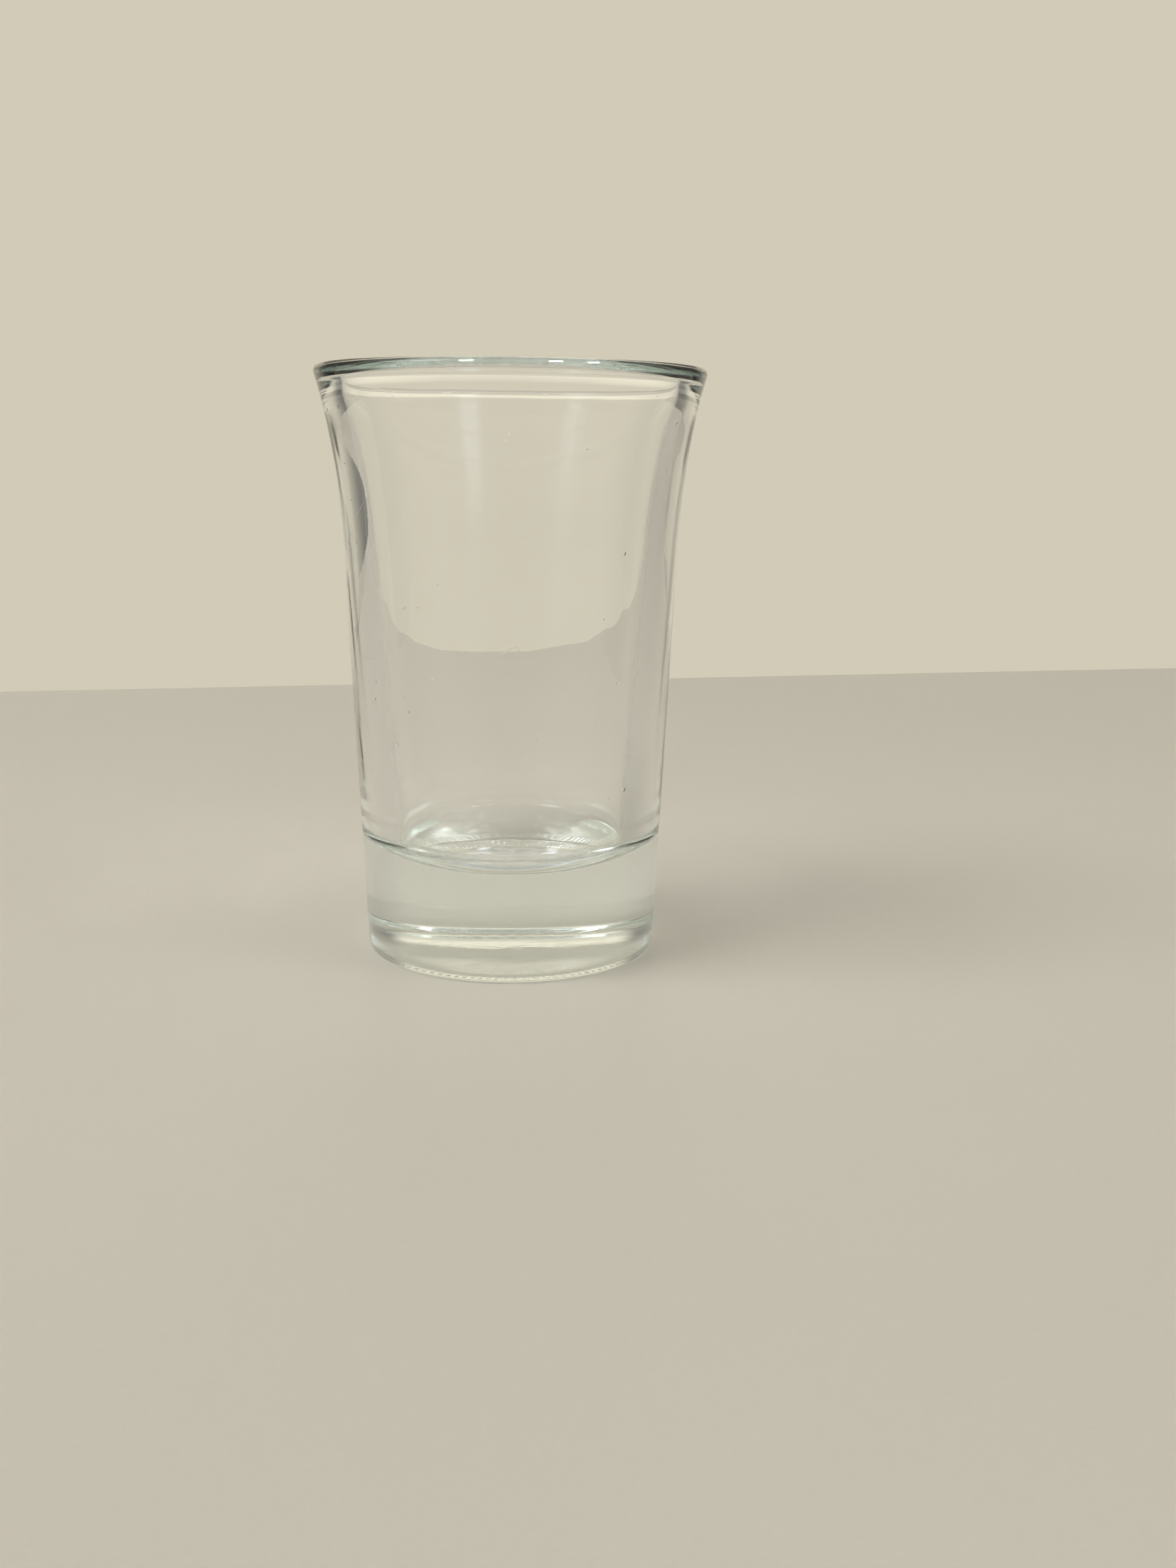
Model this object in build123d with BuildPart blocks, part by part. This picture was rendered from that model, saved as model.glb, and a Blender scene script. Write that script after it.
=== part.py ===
"""Shot glass: one body of pressed clear glass, free standing.

Units are millimetres.  +Z is up, the origin is the centre of the plane the
glass stands on.  The glass is a body of revolution about Z: a thick solid
base, a gently tapered wall, a flared mouth and a rounded lip.
"""

import os
from math import cos, radians, sin, tan

from build123d import *

# ---------------------------------------------------------------- dimensions
height = 73.0  # foot to top of lip
mouth_diameter = 48.0  # across the outside of the lip

# outside of the wall: a straight taper, then a flare that quickens to the lip
foot_radius = 18.53  # where the taper would meet the table
outside_taper = 2.54  # degrees from upright
outside_flare_start = 49.4  # height where the flare leaves the taper
outside_flare = 17.85  # degrees from upright, just under the lip
outside_handles = (11.75, 3.53)  # lengths of the curve's end handles

# lip: a tight outer round, a land that falls towards the bore, a wider inner round
lip_outer_radius = 0.9
lip_land = 1.05  # width of the land
lip_fall = 17.5  # degrees the land falls towards the bore
lip_inner_radius = 1.5

# bore: a straight draft, then a gentle swell up to the lip
bore_radius = 17.32  # at the height where the draft ends
bore_draft = 4.5  # degrees from upright
bore_flare_start = 50.0
bore_flare = 4.6
bore_handles = (15.7, 5.2)

# bottom of the bore: the wall turns quickly into a shallow bowl
bowl_edge_height = 15.75  # height where the wall starts to turn
bowl_edge_radius = 2.0  # round between the wall and the bowl
bowl_slope = 0.5  # steepness of the bowl at its edge, radians
bowl_handles = (0.34, 0.36)  # shares of the bowl's radius
floor_height = 11.45  # lowest point of the bore, so the base is this thick

# underside: a flat ring to stand on, around a shallow hollow
foot_round = 0.6  # between the wall and the ring
bearing_inner_radius = 14.6
hollow_depth = 1.1  # rise of the underside in the middle
hollow_handles = (9.0, 3.2)


def heading(degrees_from_upright):
    """Unit (radius, height) direction of a rising line that leans outwards."""
    a = radians(degrees_from_upright)
    return (sin(a), cos(a))


def along(point, direction, length):
    return (point[0] + direction[0] * length, point[1] + direction[1] * length)


def on_circle(centre, radius, degrees):
    a = radians(degrees)
    return (centre[0] + radius * cos(a), centre[1] + radius * sin(a))


# ------------------------------------------------------------- derived points
lip_centre = (mouth_diameter / 2 - lip_outer_radius, height - lip_outer_radius)
lip_outer = on_circle(lip_centre, lip_outer_radius, -outside_flare)
lip_top = on_circle(lip_centre, lip_outer_radius, 45)
land_outer = on_circle(lip_centre, lip_outer_radius, 90 + lip_fall)
land_inner = along(land_outer, (-cos(radians(lip_fall)), -sin(radians(lip_fall))), lip_land)
inner_centre = on_circle(land_inner, -lip_inner_radius, 90 + lip_fall)
inner_middle = on_circle(inner_centre, lip_inner_radius, 90 + lip_fall + 35)
lip_inner = on_circle(inner_centre, lip_inner_radius, 180 - bore_flare)

taper = heading(outside_taper)
taper_top = (
    foot_radius + outside_flare_start * tan(radians(outside_taper)),
    outside_flare_start,
)

# foot round: tangent to the table and to the tapered wall
foot_centre = (
    foot_radius
    + foot_round * tan(radians(outside_taper))
    - foot_round / cos(radians(outside_taper)),
    foot_round,
)
taper_bottom = on_circle(foot_centre, foot_round, -outside_taper)
foot_middle = on_circle(foot_centre, foot_round, -45)
bearing_outer = (foot_centre[0], 0.0)
bearing_inner = (bearing_inner_radius, 0.0)

# the bowl's edge is tangent to the draft and to the bowl
bore_top = (bore_radius, bore_flare_start)
draft = radians(bore_draft)
edge_z = bowl_edge_height + bowl_edge_radius * sin(draft)
edge_r = (
    bore_radius
    - (bore_flare_start - edge_z) * tan(draft)
    - bowl_edge_radius / cos(draft)
)
edge_centre = (edge_r, edge_z)
edge_top = on_circle(edge_centre, bowl_edge_radius, -bore_draft)
edge_middle = on_circle(edge_centre, bowl_edge_radius, -32)
edge_low = (
    edge_r + bowl_edge_radius * sin(bowl_slope),
    edge_z - bowl_edge_radius * cos(bowl_slope),
)
floor_centre = (0.0, floor_height)

# ---------------------------------------------------------------- glass body
with BuildPart() as glass_body:
    with BuildSketch(Plane.XZ) as section:
        with BuildLine() as outline:
            # underside, from the axis out to the ring
            Bezier(
                (0, hollow_depth),
                (hollow_handles[0], hollow_depth),
                (bearing_inner_radius - hollow_handles[1], 0),
                bearing_inner,
            )
            Line(bearing_inner, bearing_outer)
            ThreePointArc(bearing_outer, foot_middle, taper_bottom)
            # outside of the wall
            Line(taper_bottom, taper_top)
            Bezier(
                taper_top,
                along(taper_top, taper, outside_handles[0]),
                along(lip_outer, heading(outside_flare), -outside_handles[1]),
                lip_outer,
            )
            # lip
            ThreePointArc(lip_outer, lip_top, land_outer)
            Line(land_outer, land_inner)
            ThreePointArc(land_inner, inner_middle, lip_inner)
            # bore, from the lip down to the middle of its floor
            Bezier(
                lip_inner,
                along(lip_inner, heading(bore_flare), -bore_handles[1]),
                along(bore_top, heading(bore_draft), bore_handles[0]),
                bore_top,
            )
            Line(bore_top, edge_top)
            ThreePointArc(edge_top, edge_middle, edge_low)
            Bezier(
                edge_low,
                (
                    edge_low[0] * (1 - bowl_handles[0]),
                    edge_low[1] - edge_low[0] * bowl_handles[0] * tan(bowl_slope),
                ),
                (edge_low[0] * bowl_handles[1], floor_height),
                floor_centre,
            )
            Line(floor_centre, (0, hollow_depth))
        make_face()
    revolve(axis=Axis.Z)

glass_body.part.label = "glass_body"

os.makedirs("parts", exist_ok=True)
export_step(glass_body.part, "parts/glass_body.step")
print("glass_body volume mm3", round(glass_body.part.volume, 1))
print("size", glass_body.part.bounding_box().size)
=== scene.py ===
import math
import random

import bpy
import bmesh
import numpy as np
from mathutils import Matrix, Vector

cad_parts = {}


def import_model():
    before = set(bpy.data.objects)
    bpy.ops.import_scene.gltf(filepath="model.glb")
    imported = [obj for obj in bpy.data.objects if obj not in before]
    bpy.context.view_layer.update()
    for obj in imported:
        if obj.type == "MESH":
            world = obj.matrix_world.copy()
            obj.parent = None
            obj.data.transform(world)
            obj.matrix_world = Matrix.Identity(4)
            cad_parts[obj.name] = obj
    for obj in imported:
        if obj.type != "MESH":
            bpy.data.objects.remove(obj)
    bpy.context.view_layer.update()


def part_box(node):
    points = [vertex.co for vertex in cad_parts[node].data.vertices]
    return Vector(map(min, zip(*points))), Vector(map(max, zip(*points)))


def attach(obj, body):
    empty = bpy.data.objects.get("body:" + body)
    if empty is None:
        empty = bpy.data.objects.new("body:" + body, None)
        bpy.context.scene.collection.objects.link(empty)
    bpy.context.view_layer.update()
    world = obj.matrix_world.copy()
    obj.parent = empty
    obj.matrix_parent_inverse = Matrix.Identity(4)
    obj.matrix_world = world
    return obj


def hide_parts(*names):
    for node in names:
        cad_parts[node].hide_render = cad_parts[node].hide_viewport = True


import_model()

MM = 0.001
rng = random.Random(7)

# ------------------------------------------------------------------ section
# The section of the glass in millimetres, (radius, height). The height and the mouth's radius come from the frame's
# box; the rest are the glass's own dimensions.
node_lo, node_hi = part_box("glass_body")
HEIGHT = node_hi[2] / MM
MOUTH_R = max(node_hi[0], node_hi[1]) / MM - 0.012
FOOT_R, TAPER = 18.53, 2.54
FLARE_Z, FLARE, FLARE_H = 49.4, 17.85, (11.75, 3.53)
LIP_R, LAND, FALL, LIP_IN_R = 0.9, 1.05, 17.5, 1.5
BORE_R, DRAFT, BORE_Z, BORE_FLARE, BORE_H = 17.32, 4.5, 50.0, 4.6, (15.7, 5.2)
EDGE_Z, EDGE_R, BOWL, BOWL_H, FLOOR_Z = 15.75, 2.0, 0.5, (0.34, 0.36), 11.45
FOOT_ROUND, RING_R, HOLLOW, HOLLOW_H = 0.6, 14.6, 1.1, (9.0, 3.2)


def heading(deg):
    a = math.radians(deg)
    return np.array([math.sin(a), math.cos(a)])


def on_circle(c, r, deg):
    a = math.radians(deg)
    return np.array([c[0] + r * math.cos(a), c[1] + r * math.sin(a)])


def bezier(p, n):
    t = np.linspace(0, 1, n)[:, None]
    p = [np.asarray(x, float) for x in p]
    return (1 - t) ** 3 * p[0] + 3 * (1 - t) ** 2 * t * p[1] + 3 * (1 - t) * t * t * p[2] + t**3 * p[3]


def arc(c, r, a0, a1, n):
    a = np.radians(np.linspace(a0, a1, n))
    return np.stack([c[0] + r * np.cos(a), c[1] + r * np.sin(a)], -1)


def straight(p, q, n):
    t = np.linspace(0, 1, n)[:, None]
    return (1 - t) * np.asarray(p, float) + t * np.asarray(q, float)


def section():
    """Points from the middle of the underside, out, up, over the lip and down to the middle of the bore's floor, with a zone for each."""
    lip_c = np.array([MOUTH_R - LIP_R, HEIGHT - LIP_R])
    lip_out = on_circle(lip_c, LIP_R, -FLARE)
    land_out = on_circle(lip_c, LIP_R, 90 + FALL)
    fall = math.radians(FALL)
    land_in = land_out - LAND * np.array([math.cos(fall), math.sin(fall)])
    in_c = on_circle(land_in, -LIP_IN_R, 90 + FALL)
    lip_in = on_circle(in_c, LIP_IN_R, 180 - BORE_FLARE)
    tt = math.radians(TAPER)
    taper_top = np.array([FOOT_R + FLARE_Z * math.tan(tt), FLARE_Z])
    foot_c = np.array([FOOT_R + FOOT_ROUND * math.tan(tt) - FOOT_ROUND / math.cos(tt), FOOT_ROUND])
    taper_low = on_circle(foot_c, FOOT_ROUND, -TAPER)
    bore_top = np.array([BORE_R, BORE_Z])
    dr = math.radians(DRAFT)
    ez = EDGE_Z + EDGE_R * math.sin(dr)
    er = BORE_R - (BORE_Z - ez) * math.tan(dr) - EDGE_R / math.cos(dr)
    edge_c = np.array([er, ez])
    edge_top = on_circle(edge_c, EDGE_R, -DRAFT)
    low = edge_c + EDGE_R * np.array([math.sin(BOWL), -math.cos(BOWL)])
    runs = [
        ("hollow", bezier([(0, HOLLOW), (HOLLOW_H[0], HOLLOW), (RING_R - HOLLOW_H[1], 0), (RING_R, 0)], 30)),
        ("ring", straight((RING_R, 0), (foot_c[0], 0), 16)),
        ("foot", arc(foot_c, FOOT_ROUND, -90, -TAPER, 12)),
        ("wall", straight(taper_low, taper_top, 34)),
        ("wall", bezier([taper_top, taper_top + heading(TAPER) * FLARE_H[0], lip_out - heading(FLARE) * FLARE_H[1], lip_out], 30)),
        ("lip", arc(lip_c, LIP_R, -FLARE, 90 + FALL, 16)),
        ("lip", straight(land_out, land_in, 3)),
        ("lip", arc(in_c, LIP_IN_R, 90 + FALL, 180 - BORE_FLARE, 16)),
        ("bore", bezier([lip_in, lip_in - heading(BORE_FLARE) * BORE_H[1], bore_top + heading(DRAFT) * BORE_H[0], bore_top], 28)),
        ("bore", straight(bore_top, edge_top, 26)),
        ("edge", arc(edge_c, EDGE_R, -DRAFT, -90 + math.degrees(BOWL), 16)),
        ("bowl", bezier([low, (low[0] * (1 - BOWL_H[0]), low[1] - low[0] * BOWL_H[0] * math.tan(BOWL)), (low[0] * BOWL_H[1], FLOOR_Z), (0, FLOOR_Z)], 30)),
    ]
    pts, zones = [], []
    for zone, p in runs:
        for q in p if not pts else p[1:]:
            pts.append(q)
            zones.append(zone)
    return np.array(pts), zones


def lathe(name, pts, zones, seg):
    """A closed solid of revolution. Returns its vertices, faces, ring count and each ring's zone."""
    n = len(pts)
    ring_pts, ring_zones = pts[1:-1], zones[1:-1]
    m = len(ring_pts)
    a = np.arange(seg) * 2 * math.pi / seg
    r, z = ring_pts[:, 0], ring_pts[:, 1]
    verts = np.zeros((m, seg, 3))
    verts[:, :, 0] = r[:, None] * np.cos(a)
    verts[:, :, 1] = r[:, None] * np.sin(a)
    verts[:, :, 2] = z[:, None]
    flat = verts.reshape(-1, 3)
    flat = np.concatenate([flat, [[0, 0, pts[0][1]], [0, 0, pts[-1][1]]]])
    faces = []
    for i in range(m - 1):
        for j in range(seg):
            k = (j + 1) % seg
            faces.append((i * seg + j, i * seg + k, (i + 1) * seg + k, (i + 1) * seg + j))
    low, top = m * seg, m * seg + 1
    for j in range(seg):
        k = (j + 1) % seg
        faces.append((low, k, j))
        faces.append((top, (m - 1) * seg + j, (m - 1) * seg + k))
    return flat, faces, m, ring_zones


SEG = 480
pts, zones = section()
flat, faces, rings, ring_zones = lathe("glass", pts, zones, SEG)

# Pressed glass isn't perfectly even: the wall's thickness drifts round the
# bore in soft upright ribs, the bowl carries a faint swirl and the hollow a
# chill wrinkle.
ang = np.arctan2(flat[:, 1], flat[:, 0])
rad = np.hypot(flat[:, 0], flat[:, 1])
zz = flat[:, 2]
zone_of = np.array([z for z in ring_zones for _ in range(SEG)] + ["hollow", "bowl"])
inside = np.isin(zone_of, ["bore", "edge"])
ribs = (
    0.022 * np.sin(5 * ang + 0.7)
    + 0.016 * np.sin(9 * ang + 2.1 + 0.012 * zz)
    + 0.011 * np.sin(17 * ang + 0.4 - 0.010 * zz)
    + 0.0034 * np.sin(31 * ang + 1.3)
    + 0.0020 * np.sin(43 * ang + 4.0 + 0.02 * zz)
)
fade = np.clip((zz - 15.0) / 9.0, 0, 1) * np.clip((71.0 - zz) / 8.0, 0, 1)
dr = np.where(inside, ribs * fade, 0.0)
bowl = zone_of == "bowl"
lift = np.clip((12.8 - rad) / 3.0, 0, 1) * np.clip(rad / 3.0, 0, 1)
dz = np.where(
    bowl,
    lift * (0.020 * np.sin(3 * ang + 0.5 * rad) + 0.014 * np.sin(1.1 * rad + 1.0) + 0.007 * np.sin(7 * ang - 0.8 * rad)),
    0.0,
)
hollow = zone_of == "hollow"
lift = np.clip((RING_R - 0.8 - rad) / 3.0, 0, 1) * np.clip(rad / 2.0, 0, 1)
dz += np.where(hollow, lift * (0.012 * np.sin(2 * ang + 0.35 * rad) + 0.008 * np.sin(0.9 * rad + 5 * ang)), 0.0)
# the stippled ring: short leaning ticks that keep the glass off the table
ring = zone_of == "ring"
ring_out = FOOT_R - FOOT_ROUND
span = np.clip((rad - RING_R) / (ring_out - RING_R), 0, 1)
tick = np.clip(np.sin(96 * (ang + 0.02 * span) + 1.6 * np.sin(7 * ang)) * 1.3 + 0.1, 0, 1)
tick *= np.clip(np.sin(math.pi * span) * 1.5, 0, 1)
dz += np.where(ring, 0.055 * tick, 0.0)
new_r = rad + dr
with np.errstate(all="ignore"):
    k = np.where(rad > 1e-9, new_r / np.maximum(rad, 1e-9), 1.0)
flat = np.stack([flat[:, 0] * k, flat[:, 1] * k, zz + dz], -1)

mesh = bpy.data.meshes.new("tumbler_glass")
mesh.from_pydata([tuple(v * MM) for v in flat], [], faces)
mesh.validate()
mesh.update()
for p in mesh.polygons:
    p.use_smooth = True
glass = bpy.data.objects.new("tumbler_glass", mesh)
bpy.context.scene.collection.objects.link(glass)
bm = bmesh.new()
bm.from_mesh(mesh)
bmesh.ops.recalc_face_normals(bm, faces=bm.faces)
if bm.calc_volume(signed=True) < 0:
    bmesh.ops.reverse_faces(bm, faces=bm.faces)
bm.to_mesh(mesh)
bm.free()
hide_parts("glass_body")
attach(glass, "root")


# ---------------------------------------------------------------- materials
def new_material(name):
    m = bpy.data.materials.new(name)
    m.use_nodes = True
    nt = m.node_tree
    nt.nodes.clear()
    out = nt.nodes.new("ShaderNodeOutputMaterial")
    p = nt.nodes.new("ShaderNodeBsdfPrincipled")
    nt.links.new(p.outputs["BSDF"], out.inputs["Surface"])
    return m, nt, out, p


def math_node(nt, op, *vals):
    n = nt.nodes.new("ShaderNodeMath")
    n.operation = op
    for i, v in enumerate(vals):
        if isinstance(v, (int, float)):
            n.inputs[i].default_value = v
        else:
            nt.links.new(v, n.inputs[i])
    return n.outputs[0]


def smooth(nt, v, lo, hi, a=0.0, b=1.0):
    n = nt.nodes.new("ShaderNodeMapRange")
    n.interpolation_type = "SMOOTHSTEP"
    nt.links.new(v, n.inputs["Value"])
    n.inputs["From Min"].default_value = lo
    n.inputs["From Max"].default_value = hi
    n.inputs["To Min"].default_value = a
    n.inputs["To Max"].default_value = b
    return n.outputs["Result"]


def noise(nt, co, scale, detail=3.0, rough=0.55, dist=0.0):
    n = nt.nodes.new("ShaderNodeTexNoise")
    nt.links.new(co, n.inputs["Vector"])
    n.inputs["Scale"].default_value = scale
    n.inputs["Detail"].default_value = detail
    n.inputs["Roughness"].default_value = rough
    n.inputs["Distortion"].default_value = dist
    return n.outputs["Fac"]


def stretched(nt, co, factors):
    n = nt.nodes.new("ShaderNodeVectorMath")
    n.operation = "MULTIPLY"
    nt.links.new(co, n.inputs[0])
    n.inputs[1].default_value = factors
    return n.outputs["Vector"]


def clear_glass():
    """Soda-lime glass that has been handled: clear, with a slow waviness, grease, seeds, hairline scratches and a scuffed foot."""
    m, nt, out, p = new_material("clear_soda_lime_glass")
    N, K = nt.nodes.new, nt.links.new
    co = N("ShaderNodeTexCoord").outputs["Object"]
    xyz = N("ShaderNodeSeparateXYZ")
    K(co, xyz.inputs[0])
    x, y, z = xyz.outputs
    r = math_node(nt, "SQRT", math_node(nt, "ADD", math_node(nt, "MULTIPLY", x, x), math_node(nt, "MULTIPLY", y, y)))

    # masks
    foot = smooth(nt, z, 0.0030, 0.0002)
    grease = smooth(nt, noise(nt, co, 62.0, 4.0, 0.6, 0.6), 0.56, 0.74)
    grain = noise(nt, co, 2600.0, 2.0, 0.6)
    fine = noise(nt, co, 900.0, 3.0, 0.6)

    # seeds and dust: small round spots in some cells only
    vor = N("ShaderNodeTexVoronoi")
    vor.feature = "F1"
    K(co, vor.inputs["Vector"])
    vor.inputs["Scale"].default_value = 235.0
    chosen = N("ShaderNodeSeparateColor")
    K(vor.outputs["Color"], chosen.inputs[0])
    spot = math_node(
        nt,
        "MULTIPLY",
        smooth(nt, vor.outputs["Distance"], 0.070, 0.035),
        math_node(nt, "GREATER_THAN", chosen.outputs[0], 0.80),
    )
    vf = N("ShaderNodeTexVoronoi")
    vf.feature = "F1"
    K(co, vf.inputs["Vector"])
    vf.inputs["Scale"].default_value = 520.0
    few = N("ShaderNodeSeparateColor")
    K(vf.outputs["Color"], few.inputs[0])
    speck = math_node(
        nt,
        "MULTIPLY",
        smooth(nt, vf.outputs["Distance"], 0.080, 0.040),
        math_node(nt, "GREATER_THAN", few.outputs[1], 0.90),
    )
    # none on the base, where the thick glass would stretch them
    spot = math_node(nt, "MULTIPLY", math_node(nt, "MAXIMUM", spot, speck), smooth(nt, z, 0.012, 0.019))

    # hairlines: thin edges of a warped cell pattern, broken up
    warp = N("ShaderNodeVectorMath")
    warp.operation = "ADD"
    wn = N("ShaderNodeTexNoise")
    K(co, wn.inputs["Vector"])
    wn.inputs["Scale"].default_value = 70.0
    wn.inputs["Detail"].default_value = 1.0
    ws = N("ShaderNodeVectorMath")
    ws.operation = "SCALE"
    K(wn.outputs["Color"], ws.inputs[0])
    ws.inputs["Scale"].default_value = 0.012
    K(co, warp.inputs[0])
    K(ws.outputs["Vector"], warp.inputs[1])
    hv = N("ShaderNodeTexVoronoi")
    hv.feature = "DISTANCE_TO_EDGE"
    K(warp.outputs["Vector"], hv.inputs["Vector"])
    hv.inputs["Scale"].default_value = 96.0
    hair = math_node(
        nt,
        "MULTIPLY",
        smooth(nt, hv.outputs["Distance"], 0.0034, 0.0012),
        smooth(nt, noise(nt, co, 105.0, 1.0, 0.5), 0.60, 0.68),
    )

    # roughness: polished, dulled by grease, spots, hairlines and foot wear
    scuff = math_node(nt, "MULTIPLY", foot, smooth(nt, fine, 0.40, 0.66))
    rough = math_node(nt, "MULTIPLY", grease, 0.022)
    rough = math_node(nt, "ADD", rough, math_node(nt, "MULTIPLY", spot, 0.30))
    rough = math_node(nt, "ADD", rough, math_node(nt, "MULTIPLY", hair, 0.14))
    rough = math_node(nt, "ADD", rough, math_node(nt, "MULTIPLY", scuff, 0.20))
    rough = math_node(nt, "MINIMUM", rough, 0.45)
    K(rough, p.inputs["Roughness"])

    # relief in metres: slow waviness, mould skin, spots, hairlines, stipple
    wave = noise(nt, stretched(nt, co, (1.0, 1.0, 0.35)), 120.0, 2.0, 0.5)
    skin = noise(nt, stretched(nt, co, (1.0, 1.0, 0.5)), 420.0, 3.0, 0.55)
    h = math_node(nt, "MULTIPLY", wave, 0.000010)
    h = math_node(nt, "ADD", h, math_node(nt, "MULTIPLY", skin, 0.0000022))
    h = math_node(nt, "ADD", h, math_node(nt, "MULTIPLY", spot, 0.000036))
    h = math_node(nt, "SUBTRACT", h, math_node(nt, "MULTIPLY", hair, 0.0000012))
    h = math_node(nt, "ADD", h, math_node(nt, "MULTIPLY", math_node(nt, "MULTIPLY", foot, grain), 0.000010))
    bump = N("ShaderNodeBump")
    bump.inputs["Strength"].default_value = 1.0
    bump.inputs["Distance"].default_value = 1.0
    K(h, bump.inputs["Height"])
    K(bump.outputs["Normal"], p.inputs["Normal"])

    # base colour: clear, a breath of milk where dust and grease sit
    tint = N("ShaderNodeMix")
    tint.data_type = "RGBA"
    K(math_node(nt, "MULTIPLY", grease, 0.35), tint.inputs["Factor"])
    tint.inputs[6].default_value = (1.0, 1.0, 1.0, 1)
    tint.inputs[7].default_value = (0.965, 0.975, 0.970, 1)
    K(tint.outputs[2], p.inputs["Base Color"])

    p.inputs["Transmission Weight"].default_value = 1.0
    p.inputs["IOR"].default_value = 1.52
    vol = N("ShaderNodeVolumeAbsorption")
    vol.inputs["Color"].default_value = (0.40, 0.87, 0.74, 1)
    vol.inputs["Density"].default_value = 2.6
    K(vol.outputs["Volume"], out.inputs["Volume"])
    return m


glass.data.materials.append(clear_glass())


# -------------------------------------------------------------------- stage
def floor_material():
    m, nt, out, p = new_material("pale_floor")
    co = nt.nodes.new("ShaderNodeTexCoord").outputs["Object"]
    grain = noise(nt, co, 1400.0, 4.0, 0.62)
    cloud = noise(nt, co, 9.0, 3.0, 0.5)
    mix = nt.nodes.new("ShaderNodeMix")
    mix.data_type = "RGBA"
    nt.links.new(math_node(nt, "MULTIPLY_ADD", grain, 0.35, math_node(nt, "MULTIPLY", cloud, 0.5)), mix.inputs["Factor"])
    mix.inputs[6].default_value = (0.520, 0.500, 0.455, 1)
    mix.inputs[7].default_value = (0.590, 0.572, 0.530, 1)
    nt.links.new(mix.outputs[2], p.inputs["Base Color"])
    nt.links.new(math_node(nt, "MULTIPLY_ADD", grain, 0.16, 0.36), p.inputs["Roughness"])
    p.inputs["Specular IOR Level"].default_value = 0.35
    bump = nt.nodes.new("ShaderNodeBump")
    bump.inputs["Distance"].default_value = 1.0
    nt.links.new(math_node(nt, "MULTIPLY", grain, 0.00004), bump.inputs["Height"])
    nt.links.new(bump.outputs["Normal"], p.inputs["Normal"])
    return m


def plane(name, corners, mat):
    me = bpy.data.meshes.new(name)
    me.from_pydata(corners, [], [tuple(range(len(corners)))])
    ob = bpy.data.objects.new(name, me)
    ob.data.materials.append(mat)
    bpy.context.scene.collection.objects.link(ob)
    return ob


edge_l, edge_r = Vector((-0.12113, 0.21179)), Vector((0.11872, 0.24982))
slope = (edge_r.y - edge_l.y) / (edge_r.x - edge_l.x)


def edge_y(x):
    return edge_l.y + (x - edge_l.x) * slope


W = 2.5
floor = plane(
    "floor",
    [(-W, -W, -0.00002), (W, -W, -0.00002), (W, edge_y(W), -0.00002), (-W, edge_y(-W), -0.00002)],
    floor_material(),
)


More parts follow.
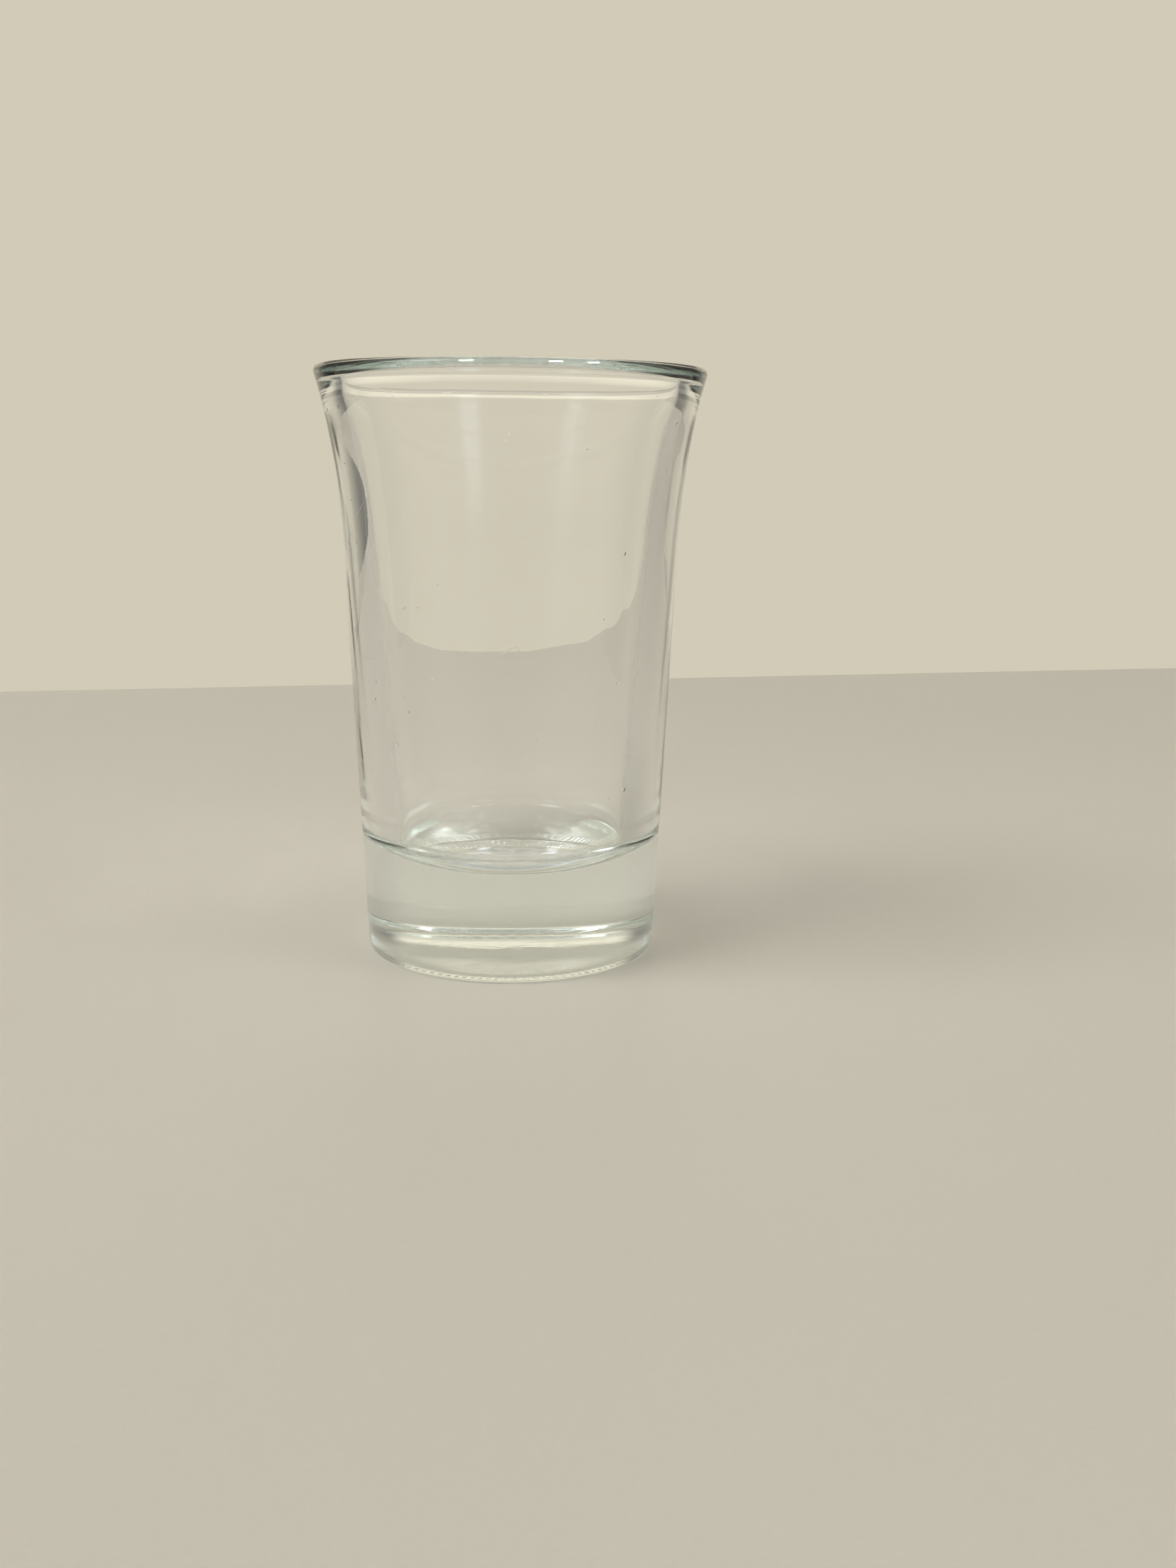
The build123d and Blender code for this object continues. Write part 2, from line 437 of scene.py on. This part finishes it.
def world():
    w = bpy.data.worlds.new("studio")
    bpy.context.scene.world = w
    w.use_nodes = True
    nt = w.node_tree
    nt.nodes.clear()
    N, K = nt.nodes.new, nt.links.new
    out = N("ShaderNodeOutputWorld")
    bg = N("ShaderNodeBackground")
    K(bg.outputs[0], out.inputs["Surface"])
    co = N("ShaderNodeTexCoord")
    sep = N("ShaderNodeSeparateXYZ")
    K(co.outputs["Generated"], sep.inputs[0])
    # angle from +Y, in turns: 0 ahead, +-0.5 behind
    at = N("ShaderNodeMath"); at.operation = "ARCTAN2"
    K(sep.outputs["X"], at.inputs[0]); K(sep.outputs["Y"], at.inputs[1])
    sc = N("ShaderNodeMath"); sc.operation = "MULTIPLY_ADD"
    sc.inputs[1].default_value = 1 / (2 * math.pi); sc.inputs[2].default_value = 0.5
    K(at.outputs[0], sc.inputs[0])
    ramp = N("ShaderNodeValToRGB")
    K(sc.outputs[0], ramp.inputs[0])
    cr = ramp.color_ramp
    cr.interpolation = "EASE"
    stops = WORLD_STOPS
    while len(cr.elements) > 1:
        cr.elements.remove(cr.elements[-1])
    cr.elements[0].position = stops[0][0]
    cr.elements[0].color = (*stops[0][1], 1)
    for pos, col in stops[1:]:
        e = cr.elements.new(pos)
        e.color = (*col, 1)
    # how bright the surround is at each height above the horizon: a light
    # band low behind the glass, a quieter field over it, then the ceiling
    el = N("ShaderNodeValToRGB")
    K(sep.outputs["Z"], el.inputs[0])
    ec = el.color_ramp
    ec.interpolation = "EASE"
    ec.elements[0].position = BANDS[0][0]
    ec.elements[0].color = (BANDS[0][1] * 0.5,) * 3 + (1,)
    ec.elements[1].position = BANDS[-1][0]
    ec.elements[1].color = (BANDS[-1][1] * 0.5,) * 3 + (1,)
    for pos, v in BANDS[1:-1]:
        e = ec.elements.new(pos)
        e.color = (v * 0.5,) * 3 + (1,)
    gain = N("ShaderNodeMath"); gain.operation = "MULTIPLY"
    K(el.outputs[0], gain.inputs[0]); gain.inputs[1].default_value = 2.0
    scaled = N("ShaderNodeVectorMath"); scaled.operation = "SCALE"
    K(ramp.outputs[0], scaled.inputs[0]); K(gain.outputs[0], scaled.inputs["Scale"])
    # the flanks are dark only low down
    low = N("ShaderNodeValToRGB")
    K(sep.outputs["Z"], low.inputs[0])
    low.color_ramp.interpolation = "EASE"
    low.color_ramp.elements[0].position = FLANK_TOP[0]
    low.color_ramp.elements[0].color = (0, 0, 0, 1)
    low.color_ramp.elements[1].position = FLANK_TOP[1]
    low.color_ramp.elements[1].color = (1, 1, 1, 1)
    plain = N("ShaderNodeVectorMath"); plain.operation = "SCALE"
    plain.inputs[0].default_value = CREAM
    K(gain.outputs[0], plain.inputs["Scale"])
    lift = N("ShaderNodeMix"); lift.data_type = "RGBA"
    K(low.outputs[0], lift.inputs["Factor"])
    K(scaled.outputs[0], lift.inputs[6])
    K(plain.outputs["Vector"], lift.inputs[7])
    # overhead
    up = N("ShaderNodeValToRGB")
    K(sep.outputs["Z"], up.inputs[0])
    up.color_ramp.interpolation = "EASE"
    up.color_ramp.elements[0].position = 0.68
    up.color_ramp.elements[0].color = (0, 0, 0, 1)
    up.color_ramp.elements[1].position = 0.92
    up.color_ramp.elements[1].color = (1, 1, 1, 1)
    mix = N("ShaderNodeMix"); mix.data_type = "RGBA"
    K(up.outputs[0], mix.inputs["Factor"])
    K(lift.outputs[2], mix.inputs[6])
    mix.inputs[7].default_value = (0.46, 0.455, 0.43, 1)
    # what stands straight behind the glass is a plain wall without the bands
    seen = N("ShaderNodeLightPath")
    wall = N("ShaderNodeMix"); wall.data_type = "RGBA"
    K(seen.outputs["Is Camera Ray"], wall.inputs["Factor"])
    K(mix.outputs[2], wall.inputs[6])
    wall.inputs[7].default_value = (*CREAM, 1)
    K(wall.outputs[2], bg.inputs["Color"])
    bg.inputs["Strength"].default_value = 1.0


FLANK_TOP = (0.22, 0.46)
BANDS = [(0.0, 1.0), (0.110, 1.0), (0.150, 1.45), (0.285, 1.45), (0.320, 0.74), (0.585, 0.74), (0.65, 1.02), (0.9, 1.0)]


def deg(a):
    return a / 360.0 + 0.5


CREAM = (0.640, 0.595, 0.475)
DARK = (0.150, 0.145, 0.130)
MID = (0.46, 0.43, 0.355)
WORLD_STOPS = [
    (deg(-180), (0.34, 0.32, 0.27)),
    (deg(-120), MID),
    (deg(-86), MID),
    (deg(-66), DARK),
    (deg(-48), DARK),
    (deg(-31), CREAM),
    (deg(30), CREAM),
    (deg(44), DARK),
    (deg(64), DARK),
    (deg(86), MID),
    (deg(120), MID),
    (deg(180), (0.34, 0.32, 0.27)),
]
world()


def area(name, loc, target, size, power, color=(1, 0.97, 0.92), shape="RECTANGLE"):
    l = bpy.data.lights.new(name, "AREA")
    l.shape = shape
    l.size = size[0]
    if shape in ("RECTANGLE", "ELLIPSE"):
        l.size_y = size[1]
    l.energy = power
    l.color = color
    o = bpy.data.objects.new(name, l)
    o.location = loc
    o.rotation_euler = (Vector(target) - Vector(loc)).to_track_quat("-Z", "Y").to_euler()
    bpy.context.scene.collection.objects.link(o)
    return o


def softbox(name, loc, target, size, strength):
    """A softbox face: bright in the middle, fading to nothing at its edges."""
    m = bpy.data.materials.new(name)
    m.use_nodes = True
    nt = m.node_tree
    nt.nodes.clear()
    out = nt.nodes.new("ShaderNodeOutputMaterial")
    em = nt.nodes.new("ShaderNodeEmission")
    clear = nt.nodes.new("ShaderNodeBsdfTransparent")
    blend = nt.nodes.new("ShaderNodeMixShader")
    nt.links.new(clear.outputs[0], blend.inputs[1])
    nt.links.new(em.outputs[0], blend.inputs[2])
    nt.links.new(blend.outputs[0], out.inputs["Surface"])
    co = nt.nodes.new("ShaderNodeTexCoord").outputs["Object"]
    sep = nt.nodes.new("ShaderNodeSeparateXYZ")
    nt.links.new(co, sep.inputs[0])
    fx = smooth(nt, math_node(nt, "ABSOLUTE", sep.outputs[0]), size[0] * 0.5, size[0] * 0.12)
    fy = smooth(nt, math_node(nt, "ABSOLUTE", sep.outputs[1]), size[1] * 0.5, size[1] * 0.12)
    nt.links.new(math_node(nt, "MULTIPLY", fx, fy), blend.inputs[0])
    em.inputs["Strength"].default_value = strength
    em.inputs["Color"].default_value = (0.95, 0.98, 1.0, 1)
    hx, hy = size[0] / 2, size[1] / 2
    ob = plane(name, [(-hx, -hy, 0), (hx, -hy, 0), (hx, hy, 0), (-hx, hy, 0)], m)
    ob.location = loc
    ob.rotation_euler = (Vector(target) - Vector(loc)).to_track_quat("-Z", "Y").to_euler()
    ob.visible_diffuse = False
    ob.visible_camera = False
    return ob


for name, loc, size, power in (
    ("key_softbox", (-0.55, -0.25, 0.85), (0.5, 0.5), 4.9),
    ("fill_softbox", (0.75, -0.35, 0.6), (0.4, 0.6), 1.5),
):
    lamp = area(name, loc, (0, 0, 0.03), size, power)
    lamp.visible_glossy = False
    lamp.visible_transmission = False
softbox("key_softbox_face", (-0.57, -0.26, 0.88), (0, 0, 0.05), (0.5, 0.5), 5.0)
softbox("window_right", (0.545, -0.839, 0.42), (0, 0, 0.42), (0.46, 0.80), 1.5)
softbox("window_left", (-0.77, -0.64, 0.42), (0, 0, 0.42), (0.34, 0.80), 1.3)
# small lamps: seen only as glints on the lip and the specks
for name, loc, power in (
    ("lamp_left", (-0.361, -0.479, 1.04), 40.0),
    ("lamp_right", (0.367, -0.475, 1.04), 40.0),
    ("lamp_far_right", (0.62, -0.30, 0.95), 30.0),
):
    lamp = area(name, loc, (0, 0, 0.07), (0.12, 0.12), power, shape="DISK")
    lamp.visible_diffuse = False

# ------------------------------------------------------------------- camera
FX = 2237.5  # focal length in pixels of a 1659 by 2212 frame
D, CH, PITCH, ROLL, YAW = 0.20087, 0.06376, 12.08, 0.59, 2.83
p_, r_, y_ = (math.radians(v) for v in (PITCH, ROLL, YAW))
fwd = Vector((math.sin(y_) * math.cos(p_), math.cos(y_) * math.cos(p_), -math.sin(p_)))
right = Vector((math.cos(y_), -math.sin(y_), 0))
up = right.cross(fwd)
r2 = right * math.cos(r_) + up * math.sin(r_)
u2 = -right * math.sin(r_) + up * math.cos(r_)
cam_data = bpy.data.cameras.new("camera")
cam = bpy.data.objects.new("camera", cam_data)
bpy.context.scene.collection.objects.link(cam)
cam.matrix_world = Matrix(
    (
        (r2.x, u2.x, -fwd.x, 0),
        (r2.y, u2.y, -fwd.y, -D),
        (r2.z, u2.z, -fwd.z, CH),
        (0, 0, 0, 1),
    )
)
cam_data.sensor_fit = "VERTICAL"
cam_data.sensor_height = 36.0
cam_data.sensor_width = 36.0
cam_data.lens = FX / 2212 * 36.0
cam_data.clip_start = 0.01
cam_data.clip_end = 20.0
cam_data.dof.use_dof = False
bpy.context.scene.camera = cam

# ------------------------------------------------------------ light paths
sc = bpy.context.scene
sc.view_settings.view_transform = "Standard"
sc.view_settings.look = "None"
sc.view_settings.exposure = 0.0
sc.view_settings.gamma = 1.0
cy = sc.cycles
cy.max_bounces = 32
cy.diffuse_bounces = 4
cy.glossy_bounces = 16
cy.transmission_bounces = 32
cy.transparent_max_bounces = 16
cy.caustics_reflective = True
cy.caustics_refractive = True
cy.blur_glossy = 0.2
cy.sample_clamp_indirect = 8.0
cy.use_denoising = True
try:
    cy.denoiser = "OPENIMAGEDENOISE"
    cy.denoising_input_passes = "RGB_ALBEDO_NORMAL"
    cy.denoising_prefilter = "ACCURATE"
except TypeError:
    cy.use_denoising = False
